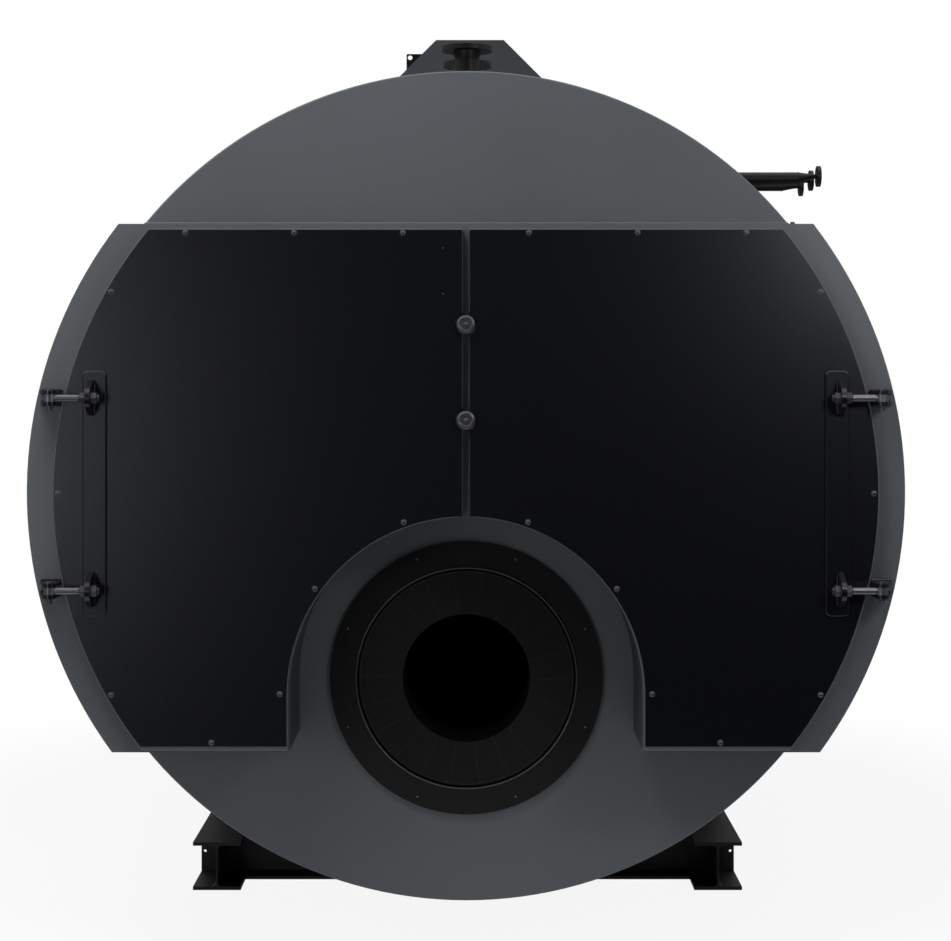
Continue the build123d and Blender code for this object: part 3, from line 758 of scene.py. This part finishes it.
def seal_rope(side):
    """Twisted rope seal: profile r (1 - relief + relief cos(strands a - 2 pi s / lay)) carried round the
    opening."""
    line = door_loop(side, DOOR_LAP + SEAL_OFFSET, POST_HALF + SEAL_OFFSET, SEAL_STEP, SEAL_ROUNDING)
    path = points_of(line[:, 0], DOOR_BACK_Y + SEAL_R, AXIS_Z + line[:, 1])
    along = np.roll(path, -1, axis=0) - np.roll(path, 1, axis=0)
    along /= np.linalg.norm(along, axis=1)[:, None]
    across = np.cross(along, BACKWARD)
    lays = np.arange(len(path)) * SEAL_STEP / SEAL_LAY
    lays *= np.round(lays[-1]) / lays[-1]
    angle = even_turns(SEAL_SIDES)
    twist = np.cos(SEAL_STRANDS * angle[None] - TURN * lays[:, None])
    radius = SEAL_R * (1 - SEAL_RELIEF + SEAL_RELIEF * twist)
    sideways = (radius * np.cos(angle))[..., None] * across[:, None]
    return surface(path[:, None] + sideways + (radius * np.sin(angle))[..., None] * BACKWARD, True)


def anchor_shape():
    """Lining anchor: turned washer cup with a quarter-ellipse stud end in its middle."""
    stud = arc((0, ANCHOR_CUP[-1][1]), ANCHOR_STUD_R, ANCHOR_STUD_H, QUARTER, count=5)
    return turned(np.concatenate([ANCHOR_CUP, stud]), ANCHOR_SIDES)


def anchor_places(side):
    """Even grid of anchor places that lie well inside a door's lining."""
    inset = LINING_INSET + ANCHOR_MARGIN
    grid = np.meshgrid(ANCHOR_COLUMNS * ANCHOR_PITCH - ANCHOR_SHIFT, ANCHOR_ROWS * ANCHOR_PITCH)
    x, z = np.reshape(grid, (2, -1))
    inside = (np.hypot(x, z) < DOOR_R - inset) & (x > POST_HALF + ANCHOR_MARGIN)
    inside &= (z < DOOR_TOP - inset) & (z > DOOR_BOTTOM + inset)
    inside &= np.where(z > -TUNNEL_DROP, np.hypot(x, z + TUNNEL_DROP), x) > DOOR_ARCH_R + inset
    return points_of(side * x[inside], LINING_Y, AXIS_Z + z[inside])


def lug_beads(side):
    """Fillet welds along both faces of a door's two hinge lugs, on the strap."""
    half = LUG_BASE / 2 - LUG_WELD_LEG
    beads = []
    for level in (HINGE_RISE, -HINGE_RISE):
        for face in (-1, 1):
            x, z = side * LUG_X + face * LUG_T / 2, AXIS_Z + level
            run = run_between((x, STRAP_FRONT_Y, z - half), (x, STRAP_FRONT_Y, z + half))
            beads.append(fillet_bead(run, face * RIGHT, FORWARD, LUG_WELD_LEG))
    return beads


def dress_doors():
    """Pieces that ride the doors: screws and rivets on the covers, seals, lining anchors and lug welds."""
    rivet_spots = [(x, PANEL_Y, AXIS_Z + rise) for x, rise in DOOR_RIVETS]
    rivets = copies(rivet_shape(), rivet_spots, DOOR_RIVET_SCALE * FACING_FRONT)
    piece("left_cover_rivets", rivets, "bolt_steel", "left_door", sharp=60)
    for name, side in SIDES.items():
        body = f"{name}_door"
        screws = copies(screw_shape(), screw_places(side), FACING_FRONT)
        anchors = copies(anchor_shape(), anchor_places(side), FACING_BACK)
        piece(f"{name}_cover_screws", screws, "bolt_steel", body)
        piece(f"{name}_rope_seal", seal_rope(side), "refractory", body, sharp=70)
        piece(f"{name}_lining_anchors", anchors, "boiler_plate", body)
        piece(f"{name}_lug_welds", lug_beads(side), "hinge_black", body)


# Hinges and knobs

def split_pin_path():
    """Split pin line in a level plane: a round eye in front, two legs through the pin, ends bent apart."""
    bend = np.linspace(0, SPLIT_SPREAD, SPLIT_BEND_STATIONS)
    apart = SPLIT_GAP + SPLIT_BEND_R * (1 - np.cos(bend))
    back = SPLIT_LEG + SPLIT_BEND_R * np.sin(bend)
    leg = np.stack([apart, back], 1)
    tip = leg[-1:] + SPLIT_TIP * np.array([[np.sin(SPLIT_SPREAD), np.cos(SPLIT_SPREAD)]])
    end = np.concatenate([tip, leg[::-1]])
    open_turn = np.arcsin(SPLIT_GAP / SPLIT_EYE_R)
    eye_middle = (0, -SPLIT_LEG - SPLIT_EYE_R * np.cos(open_turn))
    eye_turn = np.linspace(open_turn, TURN - open_turn, SPLIT_EYE_STATIONS)
    eye = ring(SPLIT_EYE_R, eye_turn)[:, ::-1] + eye_middle
    return np.concatenate([end, eye, end[::-1] * (-1, 1)])


def split_pin(x, z):
    """Wire of a split pin: round profile carried along its line at one level."""
    flat = split_pin_path()
    path = points_of(x + flat[:, 0], PIN_Y + flat[:, 1], z)
    along = np.gradient(path, axis=0)
    along /= np.linalg.norm(along, axis=1)[:, None]
    wire = ring(SPLIT_WIRE_R, even_turns(SPLIT_WIRE_SIDES))
    return swept(path, np.cross(UP, along), UP, wire, False)


def knob_profile():
    """Knob section: stud, flat seat, straight rim, quarter-ellipse shoulder, ring recess and a domed nub."""
    floor_h = KNOB_CROWN - KNOB_RECESS
    return np.concatenate([
        [(0, 0), (KNOB_STUD_R, 0), (KNOB_STUD_R, KNOB_SEAT), (KNOB_R - KNOB_BEVEL, KNOB_SEAT),
         (KNOB_R, KNOB_SEAT + KNOB_BEVEL)],
        arc((KNOB_FACE_R, KNOB_RIM), KNOB_R - KNOB_FACE_R, KNOB_CROWN - KNOB_RIM, QUARTER, count=9),
        [(KNOB_FACE_R - KNOB_BEVEL, KNOB_CROWN - KNOB_FACE_DROP), (KNOB_FACE_R - 2 * KNOB_BEVEL, floor_h),
         (KNOB_NUB_FOOT_R, floor_h)],
        arc((0, floor_h), KNOB_NUB_R, KNOB_TIP - floor_h, QUARTER, count=6),
    ])


def dress_hinges():
    """Split pins in the tails of the hinge pins, fillet welds along both faces of each ear, and the knobs."""
    beads, wires = [], []
    for side in SIDES.values():
        start_x, end_x = side * (PIN_X - EAR_IN + EAR_WELD_START), side * (PIN_X + EAR_OUT - EAR_WELD_END)
        for level in (HINGE_RISE, -HINGE_RISE):
            z = AXIS_Z + level
            wires.append(split_pin(side * PIN_X, z - EAR_GAP / 2 - EAR_T - PIN_TAIL / 2))
            for foot in (EAR_GAP / 2, -EAR_GAP / 2 - EAR_T):
                for height, face in ((z + foot, -1), (z + foot + EAR_T, 1)):
                    run = run_between((start_x, FRAME_Y, height), (end_x, FRAME_Y, height))
                    beads.append(fillet_bead(run, face * UP, FORWARD, EAR_WELD_LEG))
    piece("hinge_split_pins", wires, "bolt_steel")
    piece("hinge_ear_welds", beads, "hinge_black")
    knob_spots = [(0, FRAME_Y, height) for height in (KNOB_HIGH[2] - KNOB_R, KNOB_LOW[2] + KNOB_R)]
    knobs = copies(turned(knob_profile(), KNOB_SIDES), knob_spots, FACING_FRONT)
    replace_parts(piece("clamp_knobs_turned", knobs, "bolt_steel"), "door_clamp_knobs")


# Jacket and nozzles

def on_shell(turn, y, radius):
    """Points and axes on the shell at a turn from the right-hand side: local z points out, local y back."""
    out = points_of(np.cos(turn), 0.0, np.sin(turn))
    places = points_of(radius * np.cos(turn), y, AXIS_Z + radius * np.sin(turn))
    along = np.broadcast_to(BACKWARD, out.shape)
    return places, np.stack([np.cross(along, out), along, out], 1)


def seam_strip(turn, start, end):
    """Cover strip over a lengthwise seam: a flat section of small rise bent round the shell, from start to
    end, each end drawn in to a point on the sheet."""
    half = SEAM_HALF / SHEET_R
    flat = SEAM_FLAT * half
    section = [(-half, -SINK), (-half, SEAM_SHOULDER_H), (-flat, LAP_RISE), (flat, LAP_RISE),
               (half, SEAM_SHOULDER_H), (half, -SINK)]
    bend, rise = np.array(section).T[:, None]
    y = np.array([start, start, end, end])[:, None]
    open_share = np.array([0, 1, 1, 0])[:, None, None]
    middle = points_of(SHEET_R * np.cos(turn), y, AXIS_Z + SHEET_R * np.sin(turn))
    rim_r = SHEET_R + rise
    rim = points_of(rim_r * np.cos(turn + bend), y, AXIS_Z + rim_r * np.sin(turn + bend))
    return surface(middle + open_share * (rim - middle), False)


def jacket():
    """Jacket sheets: round courses (r cos t, y, r sin t) of section rows (y, r), each lapped over the next by
    a joggle, with a strip over its lengthwise seam and rivets along lap and strip."""
    inner_r = SHEET_R - SHEET_T
    edges = np.linspace(JACKET_LOW[1], JACKET_HIGH[1], COURSES + 1)
    turn = even_turns(JACKET_SIDES)
    around = even_turns(RIVETS_AROUND)
    shapes, rivets = [], []
    for course, (start, end) in enumerate(zip(edges[:-1], edges[1:])):
        section = [(start, inner_r), (start, SHEET_R), (end - JOGGLE, SHEET_R)]
        if course < COURSES - 1:
            section += [(end, LAP_R), (end + LAP_W, LAP_R), (end + LAP_W, SHEET_R)]
            rivets.append(on_shell(around, end + LAP_W / 2, LAP_R))
        section += [(end, SHEET_R), (end, inner_r)]
        y, r = np.array(section).T[:, :, None]
        shapes.append(surface(points_of(r * np.cos(turn), y, AXIS_Z + r * np.sin(turn)), True))
        seam_turn = SEAM_ANGLES[course % 2]
        shapes.append(seam_strip(seam_turn, start + LAP_W + SEAM_END_GAP, end - JOGGLE - SEAM_END_GAP))
        seam_y = np.linspace(start + 2 * LAP_W, end - LAP_W, SEAM_RIVETS)
        rivets.append(on_shell(np.full(SEAM_RIVETS, seam_turn), seam_y, LAP_R))
    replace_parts(piece("jacket_sheets", shapes, "jacket_grey", sharp=30), "shell_jacket")
    piece("jacket_rivets", [copies(rivet_shape(), *spots) for spots in rivets], "jacket_grey", sharp=60)


def collar(pipe_r, across, y_middle, height):
    """Collar round a pipe on the shell: section rows (reach, lift), a flat ring with a raised lip against the
    pipe, carried round the pipe's axis at turn a and lifted off the sheet along the shell's own radius. A
    crown pipe runs along z, a side pipe along x."""
    inner, outer = pipe_r + COLLAR_FIT, pipe_r + COLLAR_FIT + COLLAR_W
    section = [(inner, -COLLAR_SINK), (inner, COLLAR_LIP_H), (inner + COLLAR_LIP_W, COLLAR_LIP_H),
               (inner + COLLAR_LIP_FOOT, COLLAR_T), (outer - COLLAR_BEVEL, COLLAR_T), (outer, 0.0),
               (outer, -COLLAR_SINK)]
    reach, lift = np.array(section).T[:, :, None]
    turn = even_turns(COLLAR_SIDES)
    first = height + reach * np.cos(turn)
    second = np.sqrt(SHEET_R**2 - first**2)
    stretch = 1 + lift / SHEET_R
    x, z = (first, second) if across == "crown" else (second, first)
    return surface(points_of(x * stretch, y_middle + reach * np.sin(turn), AXIS_Z + z * stretch), True)


def crown_nozzles():
    """Collars at the foot of the crown nozzles, and the round welds below their necks."""
    for number in (1, 2):
        low, high = span(f"crown_nozzle_{number}")
        y = (low[1] + high[1]) / 2
        neck_z = high[2] - CROWN_FACE_H - CROWN_FLANGE_T - CROWN_NECK - CROWN_WELD_GAP
        piece(f"crown_nozzle_{number}_collar", collar(CROWN_PIPE_R, "crown", y, 0.0), "jacket_grey")
        bead = pipe_bead(np.array([0, y, neck_z]), RIGHT, BACKWARD, UP, CROWN_PIPE_R)
        piece(f"crown_nozzle_{number}_weld", bead, "nozzle_black")


def side_nozzles():
    """Collars at the foot of the side nozzles, and the round welds at both ends of their reducers."""
    for number, (pipe_r, drop) in enumerate(zip(SIDE_PIPE_R, SIDE_PIPE_DROP), 1):
        low, high = span(f"side_nozzle_{number}")
        y = (low[1] + high[1]) / 2
        end_z = high[2] - (high[1] - low[1]) / 2
        pipe_z = end_z - drop
        piece(f"side_nozzle_{number}_collar", collar(pipe_r, "side", y, pipe_z - AXIS_Z), "jacket_grey")
        welds = ((high[0] - SIDE_REDUCER_START, pipe_z, pipe_r),
                 (high[0] - SIDE_REDUCER_END, end_z, SIDE_END_R))
        beads = [pipe_bead(np.array([x, y, z]), BACKWARD, UP, RIGHT, radius) for x, z, radius in welds]
        piece(f"side_nozzle_{number}_welds", beads, "nozzle_black")


# Tubes, burner and base

def tube_centres():
    """Tube places from the bore floors in the tube plate: each floor's points share one cell of the tubes'
    own triangular pattern, whose middle is the centre."""
    plate = frame["nodes"]["front_tube_plate"].data
    points = np.empty(3 * len(plate.vertices))
    plate.vertices.foreach_get("co", points)
    x, y, z = points.reshape(-1, 3).T
    on_floor = np.abs(y - TUBE_PLATE_Y - TUBE_DEPTH) < TUBE_FLOOR_FIT
    rise = TUBE_PITCH * np.sin(np.pi / 3)
    rows = np.round((z[on_floor] - AXIS_Z) / rise)
    columns = np.round(x[on_floor] / TUBE_PITCH - 0.5 - 0.5 * (rows % 2))
    rows, columns = np.unique(np.stack([rows, columns], 1), axis=0).T
    across = (columns + 0.5 + 0.5 * (rows % 2)) * TUBE_PITCH
    return points_of(across, TUBE_PLATE_Y, AXIS_Z + rows * rise)


def tube_end():
    """Tube end in the plate: turned ring with a rounded crest and a straight bore."""
    crest_r, root_r = TUBE_BORE_R + TUBE_EDGE, TUBE_OUT_R - TUBE_EDGE
    outline = [(TUBE_OUT_R, -SINK), (TUBE_SHOULDER_R, TUBE_SHOULDER_H), (crest_r, TUBE_CREST_H),
               (TUBE_BORE_R, TUBE_SHOULDER_H), (TUBE_BORE_R, -TUBE_ROOT), (root_r, -TUBE_ROOT),
               (TUBE_OUT_R, -SINK)]
    return turned(outline, TUBE_SIDES)


def burner_lip():
    """Round crown of the burner lip: turned half-ellipse on the lip's middle radius."""
    middle = BURNER_LIP_R - BURNER_LIP_W / 2
    foot = [(middle, -SINK)]
    crown = arc((middle, 0), BURNER_LIP_W / 2, BURNER_LIP_CROWN, np.pi, count=7)
    return turned(np.concatenate([foot, crown, foot]), BURNER_LIP_SIDES)


def tubes_and_burner():
    """Tube ends, sunk seats and domed stud ends in the burner's bolt holes, and the burner lip's crown."""
    piece("tube_ends", copies(tube_end(), tube_centres(), FACING_FRONT), "boiler_plate", sharp=50)
    seat_back = -BURNER_SEAT_DEPTH - BURNER_SEAT_T
    seat = turned([(0, seat_back), (BURNER_BOLT_HOLE_R, seat_back), (BURNER_BOLT_HOLE_R, -BURNER_SEAT_DEPTH),
                   (0, -BURNER_SEAT_DEPTH)], BURNER_BOLT_SIDES)
    dome = arc((0, -BURNER_SEAT_DEPTH), BURNER_STUD_R, BURNER_STUD_H, QUARTER, count=6)
    stud = turned(np.concatenate([[(0, -BURNER_SEAT_DEPTH - SINK)], dome]), BURNER_BOLT_SIDES)
    x, rise = ring(BURNER_BOLT_R, even_turns(BURNER_BOLTS, 0.5)).T
    places = points_of(x, BURNER_LOW[1] + BURNER_LIP_H, BURNER_Z + rise)
    piece("burner_bolt_seats", copies(seat, places, FACING_FRONT), "burner_black")
    piece("burner_bolt_ends", copies(stud, places, FACING_FRONT), "jacket_grey", sharp=60)
    lip = copies(burner_lip(), [(0, BURNER_LOW[1], BURNER_Z)], FACING_FRONT)
    piece("burner_lip_crown", lip, "bolt_steel")


def base_welds():
    """Fillet welds along the feet of the saddle legs and their ribs, on top of the long beams."""
    beam_end, rib_end = BEAM_HALF - WELD_END_GAP, SADDLE_RIB_HALF - WELD_END_GAP
    beads = []
    for name in ("front_saddles", "rear_saddles"):
        low, high = span(name)
        y = (low[1] + high[1]) / 2
        for x in (side * BEAM_X for side in SIDES.values()):
            for face in (-1, 1):
                plate_y, rib_x = y + face * SADDLE_HALF_T, x + face * SADDLE_HALF_T
                for half in (-1, 1):
                    plate = run_between((x + half * SADDLE_HALF_T, plate_y, BEAM_DEPTH),
                                        (x + half * beam_end, plate_y, BEAM_DEPTH))
                    rib = run_between((rib_x, y + half * SADDLE_HALF_T, BEAM_DEPTH),
                                      (rib_x, y + half * rib_end, BEAM_DEPTH))
                    beads.append(fillet_bead(plate, face * BACKWARD, UP, SADDLE_WELD_LEG))
                    beads.append(fillet_bead(rib, face * RIGHT, UP, SADDLE_WELD_LEG))
    piece("saddle_welds", beads, "base_black")


def rear_end():
    """Rivets round the rear cladding's rim where the flue box leaves it free, and the welds of that box:
    fillets along its joint with the cladding, and a butt seam under the hood on each side."""
    low, high = span("rear_smokebox")
    disc_y = span("rear_cladding")[1][1]
    rivet_r = SHELL_R - REAR_RIVET_IN
    x, rise = ring(rivet_r, even_turns(REAR_RIVETS, 0.5)).T
    free = (np.abs(x) > high[0] + REAR_RIVET_CLEAR) | (AXIS_Z + rise < low[2] - REAR_RIVET_CLEAR)
    places = points_of(x[free], disc_y, AXIS_Z + rise[free])
    piece("rear_rivets", copies(rivet_shape(), places, FACING_BACK), "jacket_grey", sharp=60)
    joint_top = AXIS_Z + np.sqrt(rivet_r**2 - high[0]**2)
    seam_y = (disc_y + REAR_RIVET_IN, high[1] - REAR_RIVET_IN)
    seam_section = bead_section(REAR_SEAM_RISE, REAR_SEAM_HALF)
    foot = run_between((low[0], disc_y, low[2]), (high[0], disc_y, low[2]))
    beads = [fillet_bead(foot, -UP, BACKWARD, REAR_WELD_LEG)]
    for side in SIDES.values():
        wall_x = side * high[0]
        joint = run_between((wall_x, disc_y, low[2]), (wall_x, disc_y, joint_top))
        seam = run_between((wall_x, seam_y[0], high[2]), (wall_x, seam_y[1], high[2]))
        beads.append(fillet_bead(joint, side * RIGHT, BACKWARD, REAR_WELD_LEG))
        beads.append(swept(seam, side * RIGHT, UP, seam_section, False, ripples(seam)))
    piece("rear_welds", beads, "jacket_grey")


# Studio

def soft_box(name, place, aim, width, height, power, mirrored=True):
    """Rectangular lamp at a place, turned to its aim; an overhead one may stay out of mirrored rays."""
    lamp = bpy.data.lights.new(name, "AREA")
    lamp.shape = "RECTANGLE"
    lamp.size = width
    lamp.size_y = height
    lamp.energy = power
    made = add_object(name, lamp)
    made.location = place
    away = made.location - type(made.location)(aim)
    made.rotation_euler = away.to_track_quat("Z", "Y").to_euler()
    made.visible_glossy = mirrored


def sight(tree):
    """1 for rays that show the background itself (camera and transmission), and 1 for mirrored rays."""
    path = node(tree, "ShaderNodeLightPath").outputs
    return math(tree, "MAXIMUM", path["Is Camera Ray"], path["Is Transmission Ray"]), path["Is Glossy Ray"]


def studio():
    """White sweep, dimmer where it is mirrored and dark on the camera's side; soft boxes light the boiler."""
    world = bpy.data.worlds.new("studio")
    bpy.context.scene.world = world
    world.use_nodes = True
    tree = world.node_tree
    ground = tree.nodes["Background"]
    x, y, z = separate(tree, node(tree, "ShaderNodeTexCoord").outputs["Generated"])
    straight, glossy = sight(tree)
    opening = remap(tree, y, MIRRORED_FRONT, 1, *FRONT_FADE)
    closing = remap(tree, y, 1, MIRRORED_BEHIND, *BEHIND_FADE)
    ceiling = remap(tree, z, MIRRORED_SIDES, MIRRORED_CEILING, *CEILING_FADE)
    mirrored = math(tree, "MULTIPLY", math(tree, "MULTIPLY", opening, closing), ceiling)
    below = remap(tree, math(tree, "ABSOLUTE", x), AMBIENT_BELOW, AMBIENT_ASIDE, *ASIDE_FADE)
    ambient = blend(tree, remap(tree, z, 0, 1, *HORIZON_FADE), below, AMBIENT)
    ambient = blend(tree, remap(tree, y, 0, 1, *BEHIND_FADE), ambient, AMBIENT_BEHIND)
    indirect = blend(tree, glossy, ambient, mirrored)
    link(tree, blend(tree, straight, indirect, BACKDROP_WHITE), ground.inputs["Strength"])
    diffuse = math(tree, "SUBTRACT", 1.0, math(tree, "MAXIMUM", straight, glossy))
    link(tree, two_tone(tree, diffuse, (1.0, 1.0, 1.0), AMBIENT_TINT), ground.inputs["Color"])
    soft_box("left_box", place=(-4.9, PANEL_Y - 7.8, 2.2), aim=(-0.6, DISC_Y, AXIS_Z),
             width=2.5, height=3.5, power=78)
    soft_box("right_box", place=(2.6, PANEL_Y - 2.9, 3.5), aim=(1.45, DISC_Y, AXIS_Z + 0.6),
             width=0.8, height=0.8, power=27)
    soft_box("top_box", place=(-2.0, DISC_Y - 2.8, 7.0), aim=(-1.1, DISC_Y - 1.5, 0.0),
             width=3.6, height=2.6, power=275, mirrored=False)


def floor_finish():
    """Pale floor, white to the camera but for the shadow: a glow over the paint, full at the floor's edge."""
    pale, tree, shader = finish("pale_floor", specular=0.2)
    grain = remap(tree, noise(tree, FLOOR_GRAIN, GRAIN_DETAIL), 0, 1)
    link(tree, two_tone(tree, grain, *FLOOR_PALE), shader.inputs["Base Color"])
    shader.inputs["Roughness"].default_value = 0.9
    glow = node(tree, "ShaderNodeEmission")
    mixed = node(tree, "ShaderNodeMixShader")
    x, y, _ = separate(tree, object_point(tree))
    share = remap(tree, distance(tree, x, y), FLOOR_GLOW_SHARE, 1.0, *FLOOR_GLOW_FADE)
    straight, glossy = sight(tree)
    shown = math(tree, "MAXIMUM", straight, math(tree, "MULTIPLY", glossy, FLOOR_MIRRORED))
    link(tree, math(tree, "MULTIPLY", shown, share), mixed.inputs["Fac"])
    link(tree, shader.outputs["BSDF"], mixed.inputs[1])
    link(tree, glow.outputs["Emission"], mixed.inputs[2])
    link(tree, mixed.outputs["Shader"], tree.nodes["Material Output"].inputs["Surface"])
    return pale


def floor():
    """Plain floor: a round disc (r cos t, r sin t, 0) of rings and turns."""
    radius = np.linspace(0, FLOOR_R, FLOOR_RINGS)[:, None]
    turn = even_turns(FLOOR_SIDES)
    disc = surface(points_of(radius * np.cos(turn), radius * np.sin(turn), 0.0), False)
    made = add_object("floor", merged_mesh("floor", *disc))
    made.data.materials.append(floor_finish())


def camera():
    """Level camera in front of the boiler, with its view shifted down as the photo's framing is."""
    lens = bpy.data.cameras.new("camera")
    lens.sensor_width = SENSOR_MM
    lens.lens = FOCAL_PX * SENSOR_MM / IMAGE_W
    lens.shift_y = -VANISHING_RISE_PX / IMAGE_W
    made = add_object("camera", lens)
    made.location = (CAMERA_X, DISC_Y - CAMERA_BACK, CAMERA_Z)
    made.rotation_euler = (QUARTER, 0, 0)
    bpy.context.scene.camera = made


dress_doors()
dress_hinges()
jacket()
crown_nozzles()
side_nozzles()
tubes_and_burner()
base_welds()
rear_end()
studio()
floor()
camera()
bpy.context.scene.view_settings.view_transform = "Standard"
